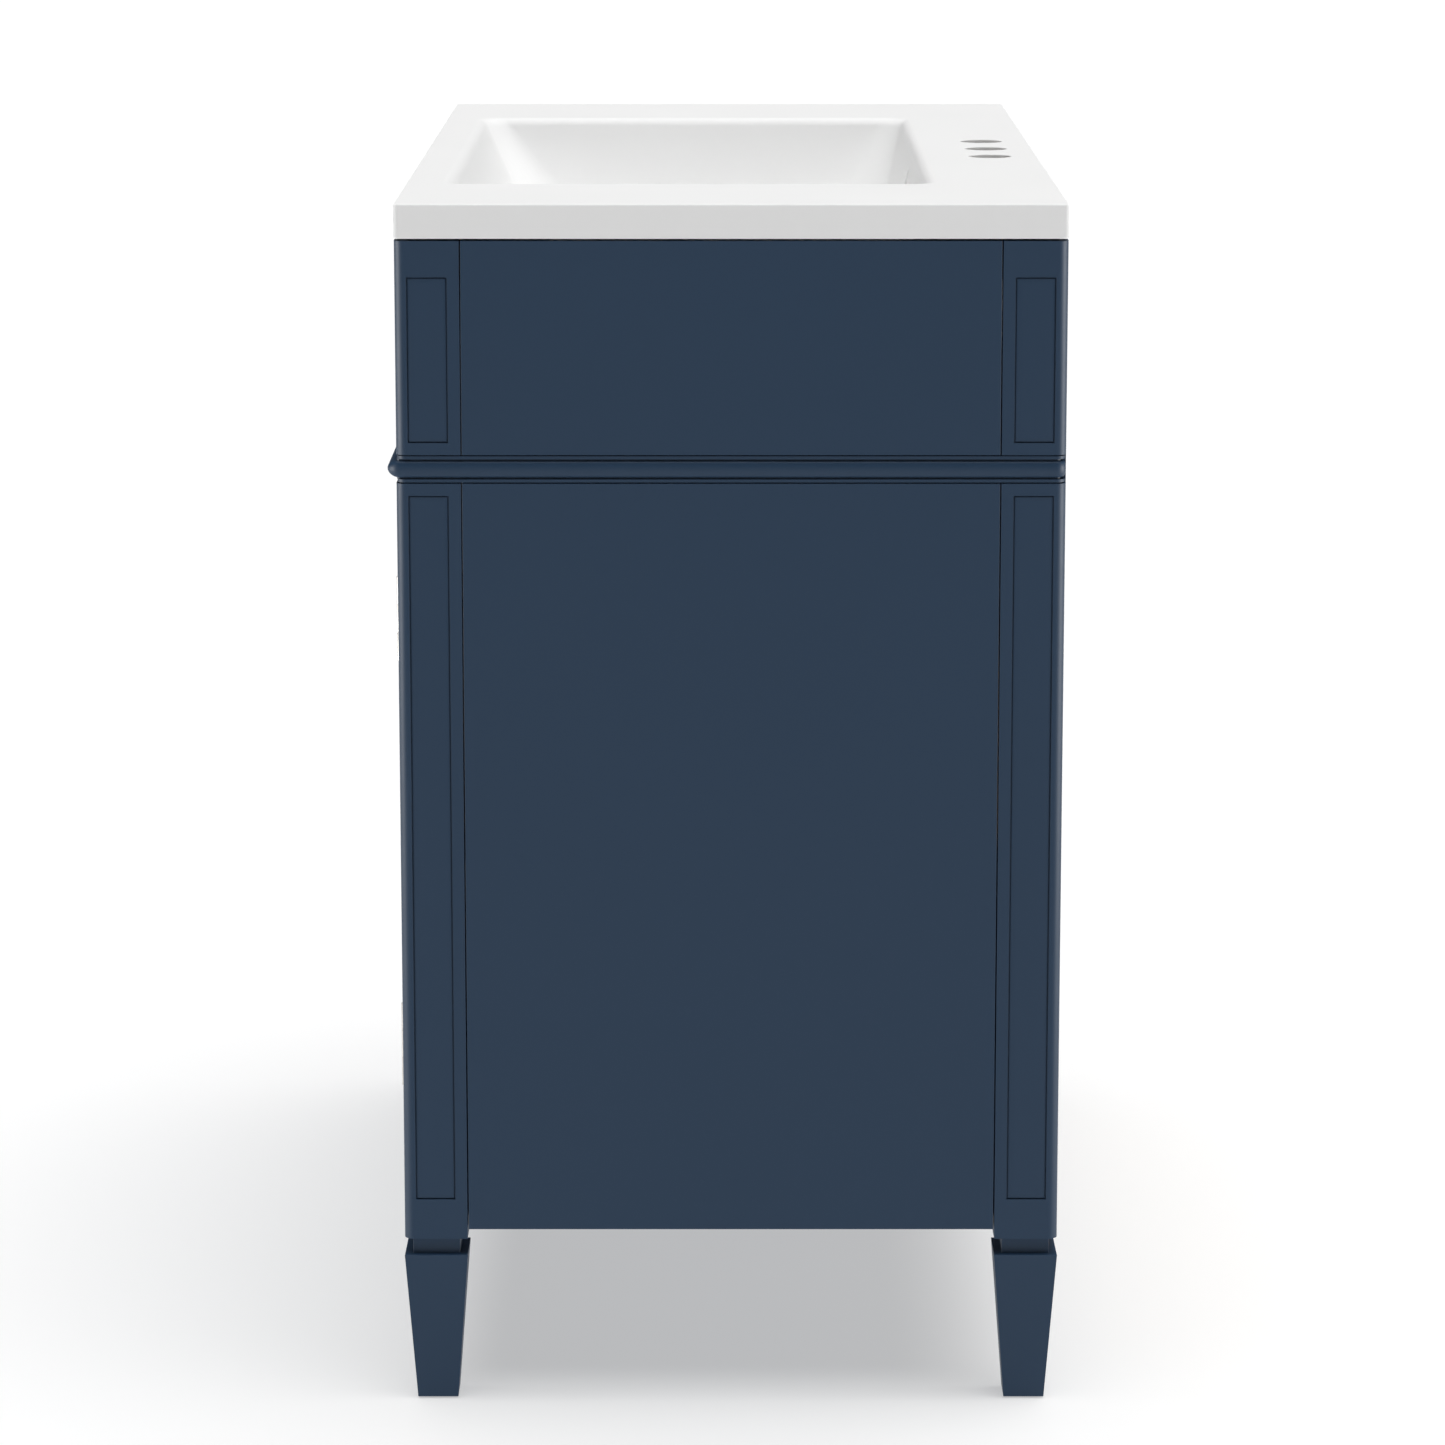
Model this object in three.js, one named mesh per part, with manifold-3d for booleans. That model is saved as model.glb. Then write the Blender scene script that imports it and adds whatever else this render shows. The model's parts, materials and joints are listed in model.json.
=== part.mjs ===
// A 36 inch bathroom vanity cabinet with an integral basin top, as separate pieces.
// Millimetres, +Z up. The front faces -Y and the right-hand end faces +X.
// The origin is on the floor, under the middle of the bounding box.
import * as THREE from "three";
import { mergeVertices } from "three/addons/utils/BufferGeometryUtils.js";
import Module from "manifold-3d";

const wasm = await Module();
wasm.setup();

// ---- driving dimensions ----
const WIDTH = 914;
const DEPTH = 465;
const HEIGHT = 858;
const KNOB_REACH = 24;

const FRONT = -(DEPTH - KNOB_REACH) / 2;
const BACK = FRONT + DEPTH;
const HALF_WIDTH = WIDTH / 2;

const TOP_THICKNESS = 24;
const TOP_UNDERSIDE = HEIGHT - TOP_THICKNESS;
const TOP_REVEAL = 1.5;
const CARCASS_TOP = TOP_UNDERSIDE - TOP_REVEAL;
const BAND_TOP = 684;
const BAND_HEIGHT = 20;
const BAND_BOTTOM = BAND_TOP - BAND_HEIGHT;
const PANEL_BOTTOM = 128;
const POST_BOTTOM = 121;
const NECK_HEIGHT = 12;
const GLIDE_HEIGHT = 1.2;

const POST_SIZE = 45;
const POST_CORNER_RADIUS = 7;
const POST_INNER = HALF_WIDTH - POST_SIZE;
const FIELD_MARGIN = 8.5;
const FIELD_SINK = 0.4;
const FIELD_BEVEL = 4;
const BEVEL_DROP = 1;
const GROOVE_DEPTH = 2.4;
const GROOVE_WIDTH = 0.9;
const UPPER_FIELD_MARGIN = 25;
const LOWER_FIELD_MARGIN = 29;

const NECK_SIZE = 33.5;
const LEG_FOOT_SIZE = 28.8;
const GLIDE_RADIUS = 10;

const SIDE_THICKNESS = 15;
const PANEL_SEAM = 0.9;
const SIDE_INNER = HALF_WIDTH - SIDE_THICKNESS;
const BOARD = 15;
const RAIL_THICKNESS = 18;
const RAIL_HEIGHT = 22;
const BACK_RAIL_HEIGHT = 75;
const FIT_GAP = 0.3;

const MOULDING_THICKNESS = 8;
const MOULDING_GAP = 0.8;
const MOULDING_HEIGHT = BAND_HEIGHT - 2 * MOULDING_GAP;
const MOULDING_BOTTOM = BAND_BOTTOM + MOULDING_GAP;
const BEAD_HEIGHT = 11.4;
const FRONT_BEAD_PROUD = 6.2;
const SIDE_BEAD_RISE = 2.2;
const FILLET_RECESS = 0.8;
const QUIRK_DEPTH = 1.4;
const QUIRK_WIDTH = 1.4;

const SHELF_DEPTH = 365;
const SHELF_Z = 392;
const PIN_RADIUS = 2.5;
const PIN_HOLE_RADIUS = 2.8;
const PIN_HOLE_DEPTH = 9;
const PIN_HEAD_RADIUS = 4;
const PIN_HEAD_LENGTH = 8;
const PIN_SETBACK = 60;
const HOLE_SPACING = 32;
const HOLE_STEPS = [-3, -2, -1, 0, 1, 2, 3];

const DOOR_GAP = 2.5;
const DOOR_THICKNESS = 18;
const STILE_WIDTH = 57;
const DOOR_PANEL_THICKNESS = 6;
const SLOT_DEPTH = 8;
const SLOT_BACK_WALL = 5.5;
const DOOR_BOTTOM = PANEL_BOTTOM + RAIL_HEIGHT + DOOR_GAP;
const DOOR_TOP = BAND_BOTTOM - DOOR_GAP;
const DOOR_OUTER = POST_INNER - DOOR_GAP;
const DOOR_INNER = DOOR_GAP / 2;
const DOOR_BACK = FRONT + DOOR_THICKNESS;

const HINGE_LENGTH = 60;
const HINGE_INSET = 70;
const KNUCKLE_RADIUS = 3;
const KNUCKLE_NOTCH_RADIUS = 3.4;
const HINGE_PIN_RADIUS = 1.4;
const HINGE_BORE_RADIUS = 1.7;
const HINGE_AXIS_X = POST_INNER - DOOR_GAP / 2;
const HINGE_AXIS_Y = FRONT - 0.2;
const LEAF_THICKNESS = 1;
const LEAF_WIDTH = 16;
const HINGE_GAP = 0.4;

const KNOB_HEIGHT_ABOVE_FLOOR = 590;

// Basin: insets from the edge of the top to the rim, and how far each wall leans in.
const BASIN = {
  depth: 112,
  wall: 10,
  frontInset: 31,
  backInset: 91,
  halfLength: 298,
  rimRound: 6,
  rimCorner: 18,
  floorCorner: 58,
  floorFillet: 34,
  frontLean: 0.5,
  backLean: 0.25,
  endLean: 0.45,
};
const DRAIN_RADIUS = 22.5;
const OVERFLOW_RADIUS = 13;
const OVERFLOW_DROP = 27;
const OVERFLOW_DEPTH = 16;
const FAUCET_HOLE_RADIUS = 16;
const FAUCET_HOLE_SPACING = 69;
const FAUCET_HOLE_FROM_BACK = 36;

// ---- materials ----
const navyPaint = new THREE.MeshStandardMaterial({ color: 0x2c394c, roughness: 0.45, metalness: 0 });
const whiteResin = new THREE.MeshStandardMaterial({ color: 0xf1f1f0, roughness: 0.25, metalness: 0 });
const birchPly = new THREE.MeshStandardMaterial({ color: 0xcdb38b, roughness: 0.6, metalness: 0 });
const nickel = new THREE.MeshStandardMaterial({ color: 0xb9b6ae, roughness: 0.3, metalness: 1 });
const nylon = new THREE.MeshStandardMaterial({ color: 0x3a3a3c, roughness: 0.6, metalness: 0 });

// ---- solids: joining and cutting ----
function toSolid(geometry) {
  const bare = geometry.clone();
  bare.deleteAttribute("normal");
  bare.deleteAttribute("uv");
  const merged = mergeVertices(bare, 1e-4);
  const mesh = new wasm.Mesh({
    numProp: 3,
    vertProperties: merged.attributes.position.array,
    triVerts: new Uint32Array(merged.index.array),
  });
  return new wasm.Manifold(mesh);
}

function toGeometry(solid) {
  const mesh = solid.getMesh();
  const geometry = new THREE.BufferGeometry();
  geometry.setAttribute("position", new THREE.BufferAttribute(mesh.vertProperties, 3));
  geometry.setIndex(new THREE.BufferAttribute(mesh.triVerts, 1));
  return geometry;
}

function cut(geometry, tools) {
  let solid = toSolid(geometry);
  for (const tool of tools) {
    solid = solid.subtract(toSolid(tool));
  }
  return toGeometry(solid);
}

function join(geometries) {
  let solid = toSolid(geometries[0]);
  for (const geometry of geometries.slice(1)) {
    solid = solid.add(toSolid(geometry));
  }
  return toGeometry(solid);
}

// ---- basic shapes ----
// A box from its lowest to its highest corner.
function boxBetween(low, high) {
  const size = high.map((value, axis) => value - low[axis]);
  const box = new THREE.BoxGeometry(...size);
  return box.translate(low[0] + size[0] / 2, low[1] + size[1] / 2, low[2] + size[2] / 2);
}

// An outline in X and Y, raised from one height to another.
function prismUp(points, bottom, top) {
  const shape = new THREE.Shape(points);
  const prism = new THREE.ExtrudeGeometry(shape, { depth: top - bottom, bevelEnabled: false });
  return prism.translate(0, 0, bottom);
}

// A round bar along Z, Y or X, centred at a point.
function bar(radius, length, axis, centre, sides = 24) {
  const geometry = new THREE.CylinderGeometry(radius, radius, length, sides);
  if (axis === "z") geometry.rotateX(Math.PI / 2);
  if (axis === "x") geometry.rotateZ(Math.PI / 2);
  return geometry.translate(...centre);
}

// A turned piece: its profile is [radius, height] pairs, and its axis is +Z.
function turned(profile, sides = 24) {
  const points = profile.map(([radius, height]) => new THREE.Vector2(radius, height));
  return new THREE.LatheGeometry(points, sides).rotateX(Math.PI / 2);
}

// A block along Z whose ends differ: each end is [width, length, height].
function frustum(lowEnd, highEnd) {
  const block = new THREE.BoxGeometry(1, 1, 1);
  const position = block.attributes.position;
  for (let i = 0; i < position.count; i += 1) {
    const [width, length, height] = position.getZ(i) < 0 ? lowEnd : highEnd;
    const x = Math.sign(position.getX(i)) * (width / 2);
    const y = Math.sign(position.getY(i)) * (length / 2);
    position.setXYZ(i, x, y, height);
  }
  return block;
}

// The cutter for a raised field: a narrow groove all round, and a long bevel from its inner edge
// up to the field, which is sunk a little below the face. It opens towards +Z.
function fieldCutter(width, length) {
  const beyond = 1;
  const end = (inset, height) => [width - 2 * inset, length - 2 * inset, height];
  const hollow = frustum(end(0, -GROOVE_DEPTH), end(0, beyond));
  const island = frustum(end(GROOVE_WIDTH, -GROOVE_DEPTH - beyond), end(GROOVE_WIDTH, -BEVEL_DROP));
  const field = frustum(end(GROOVE_WIDTH, -BEVEL_DROP), end(FIELD_BEVEL, -FIELD_SINK));
  return cut(hollow, [island, field]);
}

// A field cutter on a face that looks along +X or -Y, from one height to another.
function fieldOnSide(centreY, bottom, top) {
  const cutter = fieldCutter(POST_SIZE - 2 * FIELD_MARGIN, top - bottom);
  cutter.rotateX(Math.PI / 2).rotateZ(Math.PI / 2);
  return cutter.translate(HALF_WIDTH, centreY, (top + bottom) / 2);
}

function fieldOnFront(centreX, width, bottom, top) {
  const cutter = fieldCutter(width, top - bottom);
  cutter.rotateX(Math.PI / 2);
  return cutter.translate(centreX, FRONT, (top + bottom) / 2);
}

// ---- corner posts ----
const UPPER_FIELD = [BAND_TOP + FIELD_MARGIN, CARCASS_TOP - UPPER_FIELD_MARGIN];
const LOWER_FIELD = [POST_BOTTOM + LOWER_FIELD_MARGIN, BAND_BOTTOM - FIELD_MARGIN];

function postBlank(faceY, inwards) {
  const shape = new THREE.Shape();
  const r = POST_CORNER_RADIUS;
  shape.moveTo(POST_INNER, 0);
  shape.lineTo(HALF_WIDTH - r, 0);
  shape.absarc(HALF_WIDTH - r, r, r, -Math.PI / 2, 0, false);
  shape.lineTo(HALF_WIDTH, POST_SIZE);
  shape.lineTo(POST_INNER, POST_SIZE);
  const height = CARCASS_TOP - POST_BOTTOM;
  const blank = new THREE.ExtrudeGeometry(shape, { depth: height, bevelEnabled: false, curveSegments: 5 });
  if (inwards < 0) blank.rotateX(Math.PI).translate(0, 0, height);
  return blank.translate(0, faceY, POST_BOTTOM);
}

function sideHousing(from, to) {
  return boxBetween([HALF_WIDTH - MOULDING_THICKNESS, from, BAND_BOTTOM], [HALF_WIDTH + 5, to, BAND_TOP]);
}

function frontPost() {
  const centreY = FRONT + POST_SIZE / 2;
  const centreX = HALF_WIDTH - POST_SIZE / 2;
  const fieldWidth = POST_SIZE - 2 * FIELD_MARGIN;
  const frontHousing = boxBetween(
    [POST_INNER - 5, FRONT - 5, BAND_BOTTOM],
    [HALF_WIDTH + 5, FRONT + MOULDING_THICKNESS, BAND_TOP],
  );
  const tools = [frontHousing, sideHousing(FRONT - 5, FRONT + POST_SIZE + 5)];
  for (const [bottom, top] of [UPPER_FIELD, LOWER_FIELD]) {
    tools.push(fieldOnSide(centreY, bottom, top));
    tools.push(fieldOnFront(centreX, fieldWidth, bottom, top));
  }
  for (const height of hingeHeights()) {
    tools.push(knuckleNotch(height));
  }
  return cut(postBlank(FRONT, 1), tools);
}

function backPost() {
  const centreY = BACK - POST_SIZE / 2;
  const tools = [sideHousing(BACK - POST_SIZE - 5, BACK + 5)];
  for (const [bottom, top] of [UPPER_FIELD, LOWER_FIELD]) {
    tools.push(fieldOnSide(centreY, bottom, top));
  }
  return cut(postBlank(BACK, -1), tools);
}

// ---- legs and glides ----
function leg() {
  const halfDiagonal = (size) => size / Math.SQRT2;
  const legTop = POST_BOTTOM - NECK_HEIGHT;
  const profile = [
    [0, GLIDE_HEIGHT],
    [halfDiagonal(LEG_FOOT_SIZE), GLIDE_HEIGHT],
    [halfDiagonal(POST_SIZE), legTop],
    [halfDiagonal(NECK_SIZE), legTop],
    [halfDiagonal(NECK_SIZE), POST_BOTTOM],
    [0, POST_BOTTOM],
  ];
  return turned(profile, 4).rotateZ(Math.PI / 4);
}

function glide() {
  const edge = 0.4;
  const profile = [
    [0, 0],
    [GLIDE_RADIUS - edge, 0],
    [GLIDE_RADIUS, edge],
    [GLIDE_RADIUS, GLIDE_HEIGHT],
    [0, GLIDE_HEIGHT],
  ];
  return turned(profile, 20);
}

// ---- moulding band ----
// The profile lies in (out, up): out is measured from the post's face, and the bead's crown is at proud.
function mouldingShape(proud, rise) {
  const middle = MOULDING_HEIGHT / 2;
  const halfBead = BEAD_HEIGHT / 2;
  const root = proud - rise;
  const points = [
    [-MOULDING_THICKNESS, 0],
    [-FILLET_RECESS, 0],
    [-FILLET_RECESS, middle - halfBead - QUIRK_WIDTH],
    [root - QUIRK_DEPTH, middle - halfBead - QUIRK_WIDTH],
  ];
  const arcSteps = 10;
  for (let i = 0; i <= arcSteps; i += 1) {
    const angle = (i / arcSteps - 0.5) * Math.PI;
    points.push([root + rise * Math.cos(angle), middle + halfBead * Math.sin(angle)]);
  }
  points.push([root - QUIRK_DEPTH, middle + halfBead + QUIRK_WIDTH]);
  points.push([-FILLET_RECESS, middle + halfBead + QUIRK_WIDTH]);
  points.push([-FILLET_RECESS, MOULDING_HEIGHT]);
  points.push([-MOULDING_THICKNESS, MOULDING_HEIGHT]);
  return new THREE.Shape(points.map(([out, up]) => new THREE.Vector2(out, up)));
}

function frontMoulding() {
  const shape = mouldingShape(FRONT_BEAD_PROUD, FRONT_BEAD_PROUD + 0.4);
  const strip = new THREE.ExtrudeGeometry(shape, { depth: WIDTH, bevelEnabled: false });
  strip.rotateX(Math.PI / 2).rotateZ(-Math.PI / 2);
  return strip.translate(HALF_WIDTH, FRONT, MOULDING_BOTTOM);
}

function sideMoulding() {
  const length = DEPTH - MOULDING_THICKNESS;
  const shape = mouldingShape(0, SIDE_BEAD_RISE);
  const strip = new THREE.ExtrudeGeometry(shape, { depth: length, bevelEnabled: false });
  strip.rotateX(Math.PI / 2);
  return strip.translate(HALF_WIDTH, BACK, MOULDING_BOTTOM);
}

// ---- carcass boards ----
function pinHoleCentres() {
  const setbacks = [FRONT + POST_SIZE + PIN_SETBACK, BACK - POST_SIZE - PIN_SETBACK];
  return setbacks.flatMap((y) => HOLE_STEPS.map((step) => [y, pinHeight() + step * HOLE_SPACING]));
}

function pinHeight() {
  return SHELF_Z - PIN_HEAD_RADIUS;
}

function sidePanel() {
  const low = [SIDE_INNER, FRONT + POST_SIZE + PANEL_SEAM, PANEL_BOTTOM];
  const high = [HALF_WIDTH, BACK - POST_SIZE - PANEL_SEAM, CARCASS_TOP];
  const tools = [sideHousing(FRONT, BACK)];
  for (const [y, z] of pinHoleCentres()) {
    const centre = [SIDE_INNER + PIN_HOLE_DEPTH / 2 - 1, y, z];
    tools.push(bar(PIN_HOLE_RADIUS, PIN_HOLE_DEPTH + 2, "x", centre, 10));
  }
  return cut(boxBetween(low, high), tools);
}

function shelfPin() {
  const profile = [
    [0, -PIN_HOLE_DEPTH + 1.5],
    [PIN_RADIUS, -PIN_HOLE_DEPTH + 1.5],
    [PIN_RADIUS, 0],
    [PIN_HEAD_RADIUS, 0],
    [PIN_HEAD_RADIUS, PIN_HEAD_LENGTH],
    [0, PIN_HEAD_LENGTH],
  ];
  return turned(profile, 12).rotateY(-Math.PI / 2);
}

function bottomPanel() {
  const outer = SIDE_INNER - FIT_GAP;
  const inner = POST_INNER - FIT_GAP;
  const front = FRONT + RAIL_THICKNESS;
  const frontNotch = FRONT + POST_SIZE + FIT_GAP;
  const backNotch = BACK - POST_SIZE - FIT_GAP;
  const back = BACK - BOARD;
  const half = [
    [inner, front],
    [inner, frontNotch],
    [outer, frontNotch],
    [outer, backNotch],
    [inner, backNotch],
    [inner, back],
  ];
  const mirrored = half.map(([x, y]) => [-x, y]).reverse();
  const outline = [...half, ...mirrored].map(([x, y]) => new THREE.Vector2(x, y));
  const underside = PANEL_BOTTOM + 6;
  return prismUp(outline, underside, underside + BOARD);
}

function shelf() {
  const half = SIDE_INNER - 2;
  const middle = (FRONT + BACK) / 2;
  return boxBetween(
    [-half, middle - SHELF_DEPTH / 2, SHELF_Z],
    [half, middle + SHELF_DEPTH / 2, SHELF_Z + BOARD],
  );
}

function frontRail(bottom, top, setback) {
  const face = FRONT + setback;
  return boxBetween([-POST_INNER, face, bottom], [POST_INNER, face + RAIL_THICKNESS, top]);
}

function backRail(bottom) {
  return boxBetween([-POST_INNER, BACK - BOARD, bottom], [POST_INNER, BACK, bottom + BACK_RAIL_HEIGHT]);
}

function falseFront() {
  const bottom = BAND_TOP + DOOR_GAP;
  const top = CARCASS_TOP - RAIL_HEIGHT - DOOR_GAP;
  const board = boxBetween([-DOOR_OUTER, FRONT, bottom], [DOOR_OUTER, DOOR_BACK, top]);
  const margin = 24;
  return cut(board, [fieldOnFront(0, 2 * (DOOR_OUTER - margin), bottom + margin, top - margin)]);
}

function falseFrontCleat() {
  const cleatWidth = 30;
  return boxBetween(
    [POST_INNER - cleatWidth, DOOR_BACK, BAND_TOP + 16],
    [POST_INNER, DOOR_BACK + RAIL_THICKNESS, CARCASS_TOP - RAIL_HEIGHT - 16],
  );
}

// A triangular block in a top corner, which holds the countertop.
function cornerBlock(postFaceY, inwards) {
  const reach = 62;
  const thickness = 30;
  const corner = [SIDE_INNER, postFaceY];
  const alongX = [SIDE_INNER - reach, postFaceY];
  const alongY = [SIDE_INNER, postFaceY + inwards * reach];
  const outline = [corner, alongX, alongY].map(([x, y]) => new THREE.Vector2(x, y));
  return prismUp(outline, TOP_UNDERSIDE - thickness, TOP_UNDERSIDE);
}

// ---- doors ----
// A length of frame with a slot in the edge that looks towards +X, in (across, through) and raised along +Z.
function slottedFrame(length) {
  const slotFront = DOOR_THICKNESS - SLOT_BACK_WALL - DOOR_PANEL_THICKNESS - 2 * FIT_GAP;
  const slotBack = DOOR_THICKNESS - SLOT_BACK_WALL;
  const outline = [
    [0, 0],
    [STILE_WIDTH, 0],
    [STILE_WIDTH, slotFront],
    [STILE_WIDTH - SLOT_DEPTH, slotFront],
    [STILE_WIDTH - SLOT_DEPTH, slotBack],
    [STILE_WIDTH, slotBack],
    [STILE_WIDTH, DOOR_THICKNESS],
    [0, DOOR_THICKNESS],
  ];
  return prismUp(outline.map(([x, y]) => new THREE.Vector2(x, y)), 0, length);
}

function meetingStile() {
  return slottedFrame(DOOR_TOP - DOOR_BOTTOM).translate(DOOR_INNER, FRONT, DOOR_BOTTOM);
}

function hingeStile() {
  const stile = slottedFrame(DOOR_TOP - DOOR_BOTTOM);
  stile.rotateZ(Math.PI).translate(DOOR_OUTER, FRONT + DOOR_THICKNESS, DOOR_BOTTOM);
  // Turning the strip round puts the slot's thin wall in front, so it is turned end over end too.
  stile.translate(-DOOR_OUTER, -FRONT - DOOR_THICKNESS / 2, -(DOOR_BOTTOM + DOOR_TOP) / 2);
  stile.rotateX(Math.PI);
  stile.translate(DOOR_OUTER, FRONT + DOOR_THICKNESS / 2, (DOOR_BOTTOM + DOOR_TOP) / 2);
  return cut(stile, hingeHeights().map(knuckleNotch));
}

function doorRail(top) {
  const left = DOOR_INNER + STILE_WIDTH;
  const right = DOOR_OUTER - STILE_WIDTH;
  const rail = slottedFrame(right - left);
  rail.rotateY(Math.PI / 2).translate(left, FRONT, 0);
  if (top) return rail.translate(0, 0, DOOR_TOP);
  const middle = FRONT + DOOR_THICKNESS / 2;
  rail.translate(-(left + right) / 2, -middle, 0).rotateY(Math.PI).translate((left + right) / 2, middle, 0);
  return rail.translate(0, 0, DOOR_BOTTOM);
}

function doorPanel() {
  const hold = STILE_WIDTH - SLOT_DEPTH + FIT_GAP;
  const back = DOOR_BACK - SLOT_BACK_WALL - FIT_GAP;
  return boxBetween(
    [DOOR_INNER + hold, back - DOOR_PANEL_THICKNESS, DOOR_BOTTOM + hold],
    [DOOR_OUTER - hold, back, DOOR_TOP - hold],
  );
}

// ---- butt hinges ----
function hingeHeights() {
  const reach = HINGE_INSET + HINGE_LENGTH / 2;
  return [DOOR_BOTTOM + reach, DOOR_TOP - reach];
}

function knuckleNotch(height) {
  const centre = [HINGE_AXIS_X, HINGE_AXIS_Y, height];
  return bar(KNUCKLE_NOTCH_RADIUS, HINGE_LENGTH + 2 * HINGE_GAP, "z", centre, 20);
}

function leafPlate(faceX, side, height, length) {
  const outerX = faceX + side * LEAF_THICKNESS;
  const low = [Math.min(faceX, outerX), HINGE_AXIS_Y, height - length / 2];
  const high = [Math.max(faceX, outerX), HINGE_AXIS_Y + LEAF_WIDTH, height + length / 2];
  return boxBetween(low, high);
}

// The door's leaf carries the middle knuckle, a tube round the pin.
function doorLeaf(height) {
  const middleLength = HINGE_LENGTH / 3;
  const centre = [HINGE_AXIS_X, HINGE_AXIS_Y, height];
  const knuckle = bar(KNUCKLE_RADIUS, middleLength, "z", centre, 20);
  const plate = leafPlate(DOOR_OUTER, 1, height, HINGE_LENGTH);
  const swing = KNUCKLE_RADIUS + HINGE_GAP;
  const clearOfEnds = [1, -1].map((end) => {
    const reach = middleLength / 2 + HINGE_LENGTH / 2;
    return bar(swing, HINGE_LENGTH, "z", [HINGE_AXIS_X, HINGE_AXIS_Y, height + end * reach], 20);
  });
  const bore = bar(HINGE_BORE_RADIUS, HINGE_LENGTH, "z", centre, 16);
  return cut(join([cut(plate, clearOfEnds), knuckle]), [bore]);
}

// The post's leaf carries the end knuckles and the pin between them.
function postLeaf(height) {
  const endLength = HINGE_LENGTH / 3 - HINGE_GAP;
  const centre = [HINGE_AXIS_X, HINGE_AXIS_Y, height];
  const ends = [1, -1].map((end) => {
    const offset = end * (HINGE_LENGTH / 2 - endLength / 2);
    return bar(KNUCKLE_RADIUS, endLength, "z", [HINGE_AXIS_X, HINGE_AXIS_Y, height + offset], 20);
  });
  const pin = bar(HINGE_PIN_RADIUS, HINGE_LENGTH - 2, "z", centre, 16);
  const plate = leafPlate(POST_INNER, -1, height, HINGE_LENGTH);
  const middle = bar(KNUCKLE_RADIUS + HINGE_GAP, HINGE_LENGTH / 3 + 2 * HINGE_GAP, "z", centre, 20);
  return join([cut(plate, [middle]), ...ends, pin]);
}

// ---- knobs and catch ----
function knob() {
  const profile = [
    [0, 0],
    [8.5, 0],
    [8.5, 1.5],
    [6, 3],
    [5.2, 8],
    [6.5, 12],
    [11.5, 15],
    [14, 18],
    [14, 20],
    [12, 22.5],
    [7, 23.7],
    [0, KNOB_REACH],
  ];
  return turned(profile, 28).rotateX(Math.PI / 2);
}

const STRIKE_THICKNESS = 1.2;
const CATCH_HEIGHT = 14;

function magneticCatch() {
  const halfLength = 24;
  const front = DOOR_BACK + STRIKE_THICKNESS + FIT_GAP;
  return boxBetween([-halfLength, front, BAND_BOTTOM - CATCH_HEIGHT], [halfLength, front + 16, BAND_BOTTOM]);
}

function strikePlate() {
  const low = [DOOR_INNER + 4, DOOR_BACK, DOOR_TOP - CATCH_HEIGHT + 1];
  return boxBetween(low, [DOOR_INNER + 22, DOOR_BACK + STRIKE_THICKNESS, DOOR_TOP - 1]);
}

// ---- countertop with its basin ----
// One ring of a rounded rectangle, the same number of points whatever its size.
function roundedRing(halfLength, front, back, radius, height) {
  const cornerSteps = 6;
  const corners = [
    [halfLength - radius, back - radius, 0],
    [radius - halfLength, back - radius, Math.PI / 2],
    [radius - halfLength, front + radius, Math.PI],
    [halfLength - radius, front + radius, Math.PI * 1.5],
  ];
  const ring = [];
  for (const [x, y, start] of corners) {
    for (let i = 0; i <= cornerSteps; i += 1) {
      const angle = start + (i / cornerSteps) * (Math.PI / 2);
      ring.push([x + radius * Math.cos(angle), y + radius * Math.sin(angle), height]);
    }
  }
  return ring;
}

// A closed solid through rings listed from the bottom up.
function loft(rings) {
  const count = rings[0].length;
  const centreOf = (ring) => [0, 1, 2].map((axis) => ring.reduce((sum, p) => sum + p[axis], 0) / count);
  const vertices = [...rings.flat(), centreOf(rings[0]), centreOf(rings.at(-1))];
  const bottomCentre = rings.length * count;
  const indices = [];
  for (let level = 0; level < rings.length - 1; level += 1) {
    for (let i = 0; i < count; i += 1) {
      const next = (i + 1) % count;
      const low = level * count;
      const high = low + count;
      indices.push(low + i, low + next, high + next, low + i, high + next, high + i);
    }
  }
  const topRow = (rings.length - 1) * count;
  for (let i = 0; i < count; i += 1) {
    const next = (i + 1) % count;
    indices.push(bottomCentre, next, i);
    indices.push(bottomCentre + 1, topRow + i, topRow + next);
  }
  const geometry = new THREE.BufferGeometry();
  geometry.setAttribute("position", new THREE.Float32BufferAttribute(vertices.flat(), 3));
  geometry.setIndex(indices);
  return geometry;
}

// The basin's ring at a depth below the top face; grow is the wall's thickness, or 0 for the inside.
function basinRing(depth, sideways, grow) {
  const t = Math.min(depth / BASIN.depth, 1);
  const radius = BASIN.rimCorner + (BASIN.floorCorner - BASIN.rimCorner) * t;
  const inset = (lean) => lean * depth + sideways - grow;
  return roundedRing(
    BASIN.halfLength - inset(BASIN.endLean),
    FRONT + BASIN.frontInset + inset(BASIN.frontLean),
    BACK - BASIN.backInset - inset(BASIN.backLean),
    radius + grow,
    HEIGHT - depth,
  );
}

// [depth, sideways] stations down the basin: rounded rim, leaning wall, rounded foot.
function basinStations() {
  const stations = [];
  const steps = 4;
  for (let i = 0; i <= steps; i += 1) {
    const angle = (i / steps) * (Math.PI / 2);
    stations.push([BASIN.rimRound * (1 - Math.cos(angle)), -BASIN.rimRound * (1 - Math.sin(angle))]);
  }
  for (let i = 0; i <= steps; i += 1) {
    const angle = (i / steps) * (Math.PI / 2);
    const down = BASIN.depth - BASIN.floorFillet * (1 - Math.sin(angle));
    stations.push([down, BASIN.floorFillet * (1 - Math.cos(angle))]);
  }
  return stations.reverse();
}

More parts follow.
